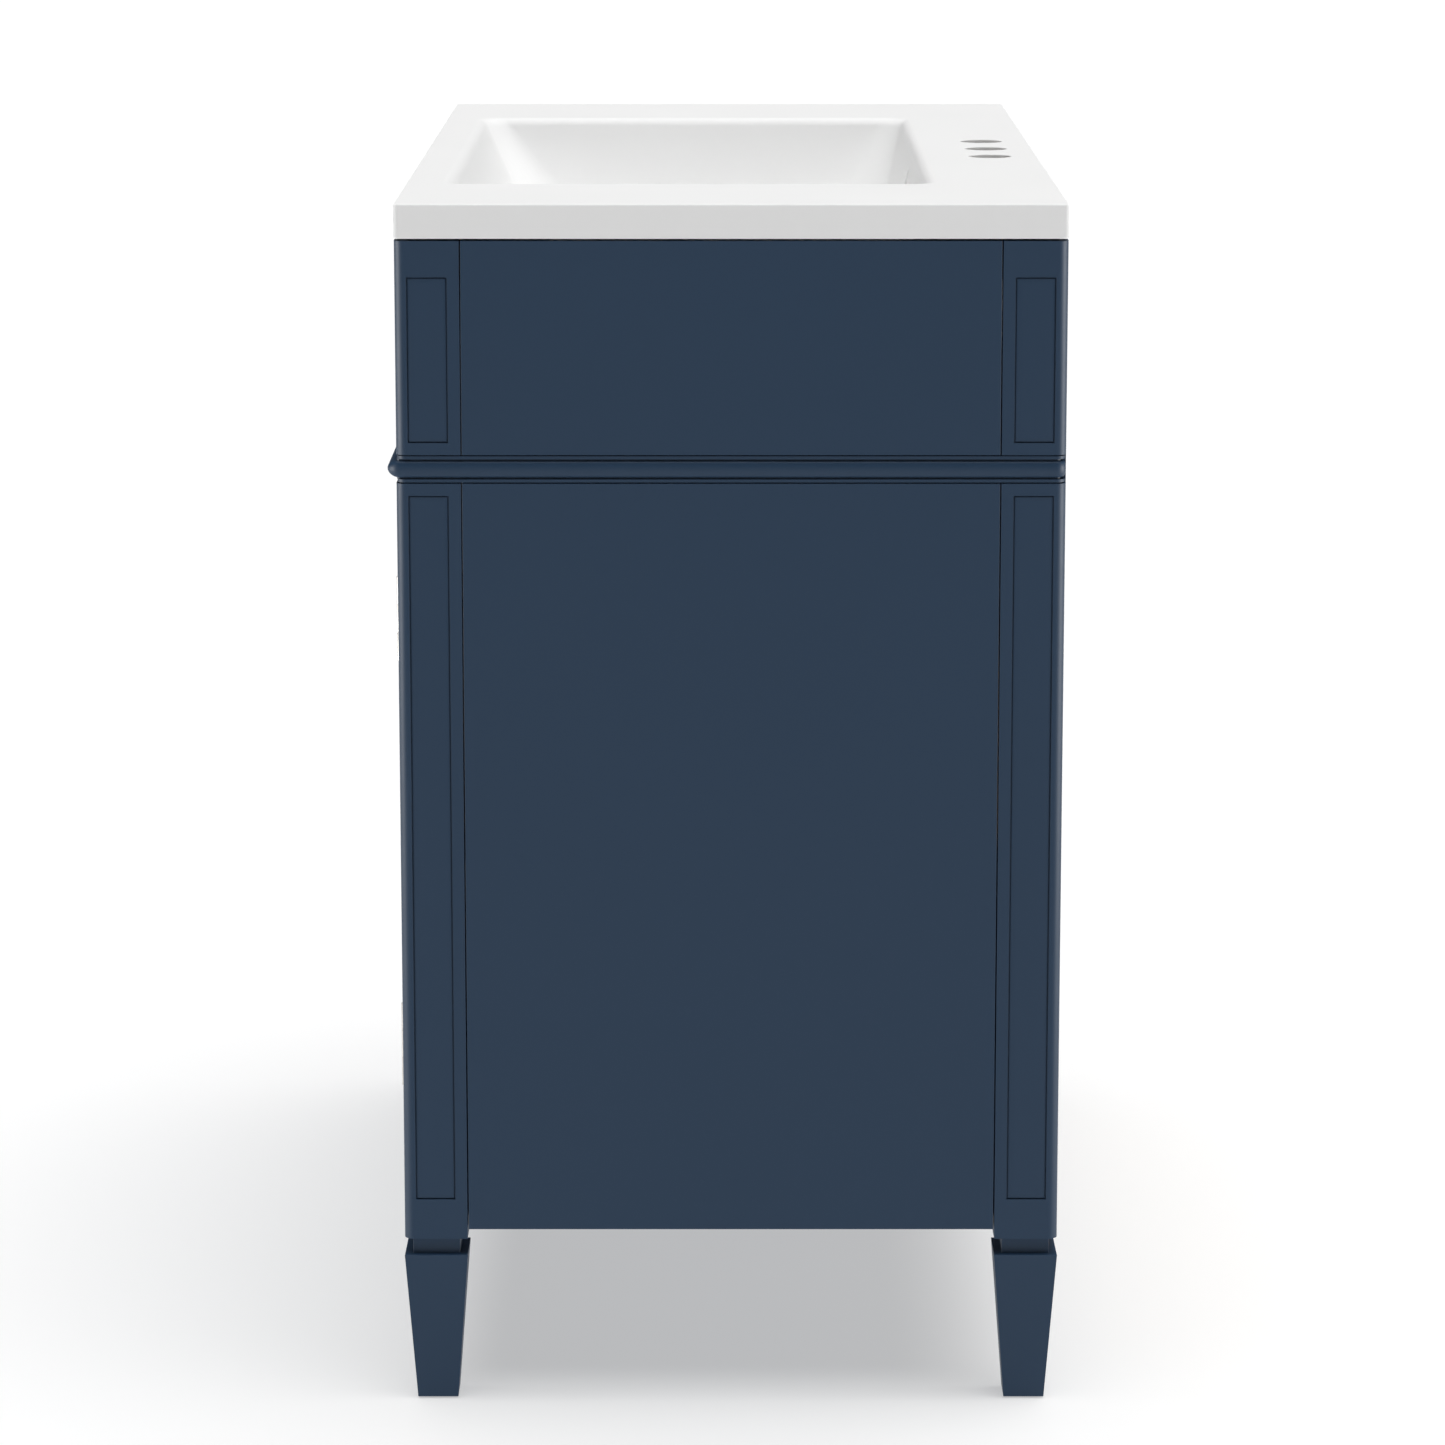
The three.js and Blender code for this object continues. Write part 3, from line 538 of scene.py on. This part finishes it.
def drill_countertop(top, overflow_place, out_of_wall):
    """Cuts the three faucet holes, the drain with its seat, and the overflow."""
    for step in (-1, 0, 1):
        place = (step * FAUCET_SPACING, BACK - FAUCET_FROM_BACK, COUNTER_TOP)
        combine(top, round_cutter(FAUCET_RADIUS, FAUCET_CUT, FAUCET_LIP, place), "DIFFERENCE")
    seat = (DRAIN_SEAT_RADIUS, DRAIN_SEAT_DEPTH)
    drain = round_cutter(DRAIN_RADIUS, DRAIN_CUT, DRAIN_LIP, drain_centre(), seat=seat)
    combine(top, drain, "DIFFERENCE")
    overflow = round_cutter(OVERFLOW_RADIUS, OVERFLOW_DEPTH, OVERFLOW_LIP, overflow_place, out_of_wall)
    combine(top, overflow, "DIFFERENCE")


def countertop():
    """One casting: the slab and the basin's shell, hollowed and drilled."""
    back_wall = BACK - BASIN_BACK_INSET - BACK_LEAN * OVERFLOW_DROP
    overflow_place = Vector((0, back_wall, COUNTER_TOP - OVERFLOW_DROP))
    out_of_wall = Vector((0, -1, BACK_LEAN))
    top = slab()
    combine(top, basin_shell(), "UNION")
    combine(top, overflow_hood(overflow_place, out_of_wall), "UNION")
    combine(top, basin_hollow(), "DIFFERENCE")
    drill_countertop(top, overflow_place, out_of_wall)
    tidy_mesh(top)
    weigh_normals(top)
    top.name = "countertop_cast"
    add_finish(top, "white_resin", "cabinet", "countertop")


# ---- moulding band ----
def station(side, crown, outward, rise, fillet):
    """Where a section of the band goes, for the right end, or mirrored to the left one."""
    crown, outward, fillet = (Vector((side * point.x, point.y)) for point in (crown, outward, fillet))
    return crown, outward, rise, fillet


def compass(degrees):
    """A flat direction, counted from +X towards +Y."""
    angle = math.radians(degrees)
    return Vector((math.cos(angle), math.sin(angle)))


def back_stations(side):
    """The stations from the inner end of the band round the back corner."""
    centre = Vector((HALF_WIDTH - POST_CORNER, BACK - POST_CORNER))
    inner_end = Vector((BAND_LOW.x, BACK))
    fillet = inner_end - Vector((0, FILLET_RECESS))
    stations = [station(side, inner_end, Vector((0, 1)), SIDE_RISE, fillet)]
    for i in range(CORNER_STEPS + 1):
        outward = compass(90 - 90 * i / CORNER_STEPS)
        crown = centre + outward * POST_CORNER
        stations.append(station(side, crown, outward, SIDE_RISE, crown - outward * FILLET_RECESS))
    return stations


def nose_stations(side):
    """The stations round the front corner, where the bead swells to its greater rise."""
    nose_centre = Vector((HALF_WIDTH - NOSE_RADIUS, FRONT_BAND_LOW.y + NOSE_RADIUS))
    fillet_centre = Vector((HALF_WIDTH - POST_CORNER, FRONT + POST_CORNER))
    stations = []
    for i in range(NOSE_STEPS + 1):
        share = i / NOSE_STEPS
        outward = compass(-90 * share)
        ease = share * share * (3 - 2 * share)
        rise = SIDE_RISE + (FRONT_RISE - SIDE_RISE) * ease
        fillet = fillet_centre + outward * (POST_CORNER - FILLET_RECESS)
        stations.append(station(side, nose_centre + outward * NOSE_RADIUS, outward, rise, fillet))
    return stations


def band_section(crown, outward, rise, fillet):
    """One section of the band, from its inner bottom corner round the bead to its inner top corner."""
    bottom, top = BAND_LOW.z, BAND_HIGH.z
    middle = (bottom + top) / 2
    low_quirk = middle - BEAD_HALF_HEIGHT - QUIRK_WIDTH
    high_quirk = middle + BEAD_HALF_HEIGHT + QUIRK_WIDTH
    inner_x = math.copysign(min(abs(crown.x), BAND_LOW.x), crown.x)
    inner_y = min(max(crown.y, FRONT_BAND_HIGH.y), BACK - POST_CORNER)
    quirk = crown - outward * (rise + QUIRK_DEPTH)
    root = crown - outward * rise
    flat = [((inner_x, inner_y), bottom), (fillet, bottom), (fillet, low_quirk), (quirk, low_quirk)]
    flat.append((quirk, middle - BEAD_HALF_HEIGHT))
    for i in range(BEAD_STEPS + 1):
        angle = math.radians(180 * i / BEAD_STEPS - 90)
        height = middle + BEAD_HALF_HEIGHT * math.sin(angle)
        flat.append((root + outward * rise * math.cos(angle), height))
    flat.append((quirk, middle + BEAD_HALF_HEIGHT))
    flat += [(quirk, high_quirk), (fillet, high_quirk), (fillet, top), ((inner_x, inner_y), top)]
    return [Vector((place[0], place[1], height)) for place, height in flat]


def moulding_strip(name, stations, node):
    """A strip of the band through its stations, in place of a CAD node."""
    strip = loft(name, [band_section(*where) for where in stations])
    weigh_normals(strip)
    add_finish(strip, "navy_paint", "cabinet", node)


def mouldings():
    """A strip on each end of the cabinet, and one across its front that turns both corners."""
    joint = Vector((HALF_WIDTH, FRONT_BAND_HIGH.y))
    outward = Vector((1, 0))
    front_run = []
    for name, side in SIDES:
        meeting = station(side, joint, outward, SIDE_RISE, joint - outward * FILLET_RECESS)
        moulding_strip(f"moulding_{name}_bead", [*back_stations(side), meeting], f"moulding_{name}")
        corner = [meeting, *nose_stations(side)]
        front_run += corner if side > 0 else corner[::-1]
    moulding_strip("moulding_front_bead", front_run, "moulding_front")


# ---- knobs and screws ----
# (radius, height) in millimetres, from the door's face outwards: a flange, a waist and a domed head.
KNOB_PROFILE = (
    (8.5, 0), (8.5, 1.1), (8.1, 1.5), (7.0, 2.0), (6.1, 3.0),
    (5.5, 5.0), (5.2, 8.0), (5.4, 10.5), (6.3, 12.5), (8.2, 14.2),
    (10.8, 15.4), (12.9, 16.5), (13.8, 17.8), (14.0, 19.0), (13.6, 20.3),
    (12.4, 21.6), (10.2, 22.7), (7.2, 23.4), (3.8, 23.85), (0.6, 24.0),
)


def curve_through(a, b, c, d, t):
    """A Catmull-Rom curve's value at t, between b and c."""
    linear = (c - a) * t
    square = (2 * a - 5 * b + 4 * c - d) * t * t
    cubic = (3 * b - a - 3 * c + d) * t ** 3
    return 0.5 * (2 * b + linear + square + cubic)


def smooth_profile(points, steps=3):
    """Points between listed ones, so that a turned profile has no flats."""
    out = []
    padded = [points[0], *points, points[-1]]
    for four in zip(padded, padded[1:], padded[2:], padded[3:]):
        for i in range(steps):
            out.append(tuple(curve_through(*values, i / steps) for values in zip(*four)))
    out.append(points[-1])
    return out


def knob(side_name):
    """A turned knob on a door. Returns the middle of its foot."""
    low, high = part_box(f"knob_{side_name}")
    place = ((low.x + high.x) / 2, high.y, (low.z + high.z) / 2)
    profile = [(radius * MM, height * MM) for radius, height in smooth_profile(KNOB_PROFILE)]
    piece = lathe(f"knob_{side_name}_turned", profile, place, (0, -1, 0))
    weigh_normals(piece)
    add_finish(piece, "satin_nickel", f"door_{side_name}", f"knob_{side_name}")
    return place


def screw_mesh(radius, height, recess, steps=6):
    """A domed screw head with a cross recess. It looks along +Z and its rim is on the XY plane."""
    profile = [(radius, -0.2 * MM), (radius, 0)]
    for i in range(1, steps + 1):
        angle = math.pi / 2 * i / steps
        profile.append((radius * math.cos(angle) + 0.02 * MM, height * math.sin(angle)))
    head = lathe("screw_head", profile, (0, 0, 0), sides=28)
    arm, width = radius * 0.55, radius * 0.17
    for length_x, length_y in ((arm, width), (width, arm)):
        corners = [(x * length_x, y * length_y) for x, y in ((-1, -1), (1, -1), (1, 1), (-1, 1))]
        floor, above = height - recess, height + 1 * MM
        blade = loft("blade", [[Vector((x, y, z)) for x, y in corners] for z in (floor, above)])
        combine(head, blade, "DIFFERENCE")
    tidy_mesh(head)
    mesh = head.data
    bpy.data.objects.remove(head)
    return mesh


def screws(name, mesh, places, outward, body):
    """One piece holding a screw head at each place, all looking the same way."""
    turn = Vector((0, 0, 1)).rotation_difference(Vector(outward)).to_matrix().to_4x4()
    heads = bmesh.new()
    for index, place in enumerate(places):
        twist = Matrix.Rotation(math.radians(25 + 31 * index), 4, "Z")
        copied = mesh.copy()
        copied.transform(Matrix.Translation(place) @ turn @ twist)
        heads.from_mesh(copied)
        bpy.data.meshes.remove(copied)
    joined = bpy.data.meshes.new(name)
    heads.to_mesh(joined)
    heads.free()
    piece = bpy.data.objects.new(name, joined)
    bpy.context.scene.collection.objects.link(piece)
    add_finish(piece, "satin_nickel", body)


def hinge_screws(mesh):
    """Three heads on each leaf, a hair proud of it, in the gap between the leaves."""
    for side_name, side in SIDES:
        for height in ("lower", "upper"):
            for leaf, body, facing in (("door", f"door_{side_name}", side), ("post", "cabinet", -side)):
                low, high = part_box(f"hinge_{leaf}_leaf_{height}_{side_name}")
                edge = plate_face(leaf, side_name, side)
                y = high.y - HINGE_SCREW_SETBACK
                middle = (low.z + high.z) / 2
                places = [Vector((edge, y, middle + step * HINGE_SCREW_SPACING)) for step in (-1, 0, 1)]
                screws(f"hinge_screws_{leaf}_{height}_{side_name}", mesh, places, (facing, 0, 0), body)


def plate_face(leaf, side_name, side):
    """The X of a hinge leaf's showing face, from the board that it is screwed to."""
    if leaf == "door":
        low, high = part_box(f"door_hinge_stile_{side_name}")
        board = high.x if side > 0 else low.x
        return board + side * LEAF_THICKNESS
    low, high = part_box(f"corner_post_front_{side_name}")
    board = low.x if side > 0 else high.x
    return board - side * LEAF_THICKNESS


def knob_screws(mesh, knob_places):
    """The head of each knob's fixing screw, on the back of its door."""
    for side_name, _ in SIDES:
        _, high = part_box(f"door_meeting_stile_{side_name}")
        place = Vector((knob_places[side_name][0], high.y, knob_places[side_name][2]))
        screws(f"knob_screw_{side_name}", mesh, [place], (0, 1, 0), f"door_{side_name}")


# ---- CAD nodes that stay: softened edges and real materials ----
EDGE_SOFTNESS = {
    "navy_paint": 0.35 * MM,
    "birch_plywood": 0.4 * MM,
    "satin_nickel": 0.2 * MM,
    "black_nylon": 0.4 * MM,
}


def soften(piece, width):
    """Rounds a CAD solid's edges a little."""
    weld = piece.modifiers.new("weld", "WELD")
    weld.merge_threshold = WELD_DISTANCE
    bevel = piece.modifiers.new("soft_edges", "BEVEL")
    bevel.width = width
    bevel.segments = BEVEL_SEGMENTS
    bevel.limit_method = "ANGLE"
    bevel.angle_limit = math.radians(BEVEL_ANGLE)
    weigh_normals(piece)


def finish_cad_node(name):
    """Gives a CAD solid that stays its material and softened edges."""
    piece = frame["nodes"][name]
    slot = SLOT_OF[name]
    upright = name.startswith(UPRIGHT_BOARDS)
    piece.data.materials.clear()
    piece.data.materials.append(UPRIGHT_PLYWOOD if upright else MATERIALS[slot])
    piece.data.shade_smooth()
    soften(piece, EDGE_SOFTNESS[slot])


REPLACED = ("countertop", "moulding_front", "moulding_right", "moulding_left", "knob_right", "knob_left")
for node_name in sorted(frame["nodes"]):
    if node_name not in REPLACED:
        finish_cad_node(node_name)
countertop()
mouldings()
knob_places = {side_name: knob(side_name) for side_name, _ in SIDES}
hinge_screws(screw_mesh(**HINGE_SCREW))
knob_screws(screw_mesh(**KNOB_SCREW), knob_places)


# ---- floor, light and camera ----
FLOOR_SIZE = 60
FLOOR_ALBEDO = 0.57
FLOOR_GLOW = 0.43
SUN_STRENGTH = 3.2
SUN_WIDTH = 70
SUN_DIRECTION = (0, -0.12, -1)
STRIP_DISTANCE = 2.6
STRIP_X = 0.2
STRIP_HEIGHT = 0.5
STRIP_SIZE = (0.6, 0.9)
STRIP_POWER = 14.0
SHEEN_X = 1.2
SHEEN_SIZE = (1.4, 0.9)
SHEEN_POWER = 50.0
LIT_X = 0.3
SURROUND_LIGHT = 0.05
CAMERA_DISTANCE = 3.7
CAMERA_HEIGHT = 1.204
CAMERA_PITCH = 10.84
CAMERA_ASIDE = 0.006
LENS = 134.2
SENSOR_WIDTH = 36.0


def pale_floor():
    """A large white floor that glows a little, as a light table does, so that shadows stay soft."""
    material, _, shader = new_material("pale_floor")
    shader.inputs["Base Color"].default_value = (FLOOR_ALBEDO, FLOOR_ALBEDO, FLOOR_ALBEDO, 1)
    shader.inputs["Roughness"].default_value = 1.0
    shader.inputs["Specular IOR Level"].default_value = 0.0
    shader.inputs["Emission Color"].default_value = (1, 1, 1, 1)
    shader.inputs["Emission Strength"].default_value = FLOOR_GLOW
    bpy.ops.mesh.primitive_plane_add(size=FLOOR_SIZE, location=(0, 0, 0))
    floor = bpy.context.object
    floor.name = "floor"
    floor.data.materials.append(material)


def overhead_light():
    """A wide, soft light from above."""
    data = bpy.data.lights.new("overhead", "SUN")
    data.energy = SUN_STRENGTH
    data.angle = math.radians(SUN_WIDTH)
    lamp = bpy.data.objects.new("overhead", data)
    bpy.context.scene.collection.objects.link(lamp)
    lamp.rotation_mode = "QUATERNION"
    lamp.rotation_quaternion = Vector(SUN_DIRECTION).to_track_quat("-Z", "Y")


def low_light(name, place, size, power):
    """A low rectangular light that looks at the object and isn't seen itself."""
    data = bpy.data.lights.new(name, "AREA")
    data.shape = "RECTANGLE"
    data.size, data.size_y = size
    data.energy = power
    lamp = bpy.data.objects.new(name, data)
    bpy.context.scene.collection.objects.link(lamp)
    lamp.visible_camera = False
    lamp.location = place
    lamp.rotation_mode = "QUATERNION"
    lamp.rotation_quaternion = Vector((LIT_X - place[0], -place[1], 0)).to_track_quat("-Z", "Y")
    return lamp


def low_lights():
    """Strips before and behind the object, and beside them sheens that only show as gloss on it."""
    for name, side in (("front", -1), ("back", 1)):
        y = side * STRIP_DISTANCE
        low_light(f"strip_{name}", (STRIP_X, y, STRIP_HEIGHT), STRIP_SIZE, STRIP_POWER)
        sheen = low_light(f"sheen_{name}", (SHEEN_X, y, STRIP_HEIGHT), SHEEN_SIZE, SHEEN_POWER)
        sheen.visible_diffuse = False


def white_surround():
    """The world lights the object dimly, and shows as white behind the floor."""
    world = bpy.data.worlds.new("studio")
    bpy.context.scene.world = world
    world.use_nodes = True
    tree = world.node_tree
    dim = tree.nodes["Background"]
    dim.inputs["Color"].default_value = (1, 1, 1, 1)
    dim.inputs["Strength"].default_value = SURROUND_LIGHT
    bright = tree.nodes.new("ShaderNodeBackground")
    bright.inputs["Color"].default_value = (1, 1, 1, 1)
    bright.inputs["Strength"].default_value = 1.0
    ray = tree.nodes.new("ShaderNodeLightPath")
    mix = tree.nodes.new("ShaderNodeMixShader")
    tree.links.new(ray.outputs["Is Camera Ray"], mix.inputs[0])
    tree.links.new(dim.outputs[0], mix.inputs[1])
    tree.links.new(bright.outputs[0], mix.inputs[2])
    tree.links.new(mix.outputs[0], tree.nodes["World Output"].inputs["Surface"])


def camera():
    """Looks straight at the right-hand end from a little above the top."""
    data = bpy.data.cameras.new("camera")
    data.lens = LENS
    data.sensor_width = SENSOR_WIDTH
    data.clip_end = 100
    eye = bpy.data.objects.new("camera", data)
    bpy.context.scene.collection.objects.link(eye)
    eye.location = (HALF_WIDTH + CAMERA_DISTANCE, CAMERA_ASIDE, CAMERA_HEIGHT)
    eye.rotation_euler = (math.radians(90 - CAMERA_PITCH), 0, math.radians(90))
    bpy.context.scene.camera = eye


pale_floor()
overhead_light()
low_lights()
white_surround()
camera()
bpy.context.scene.view_settings.view_transform = "Standard"
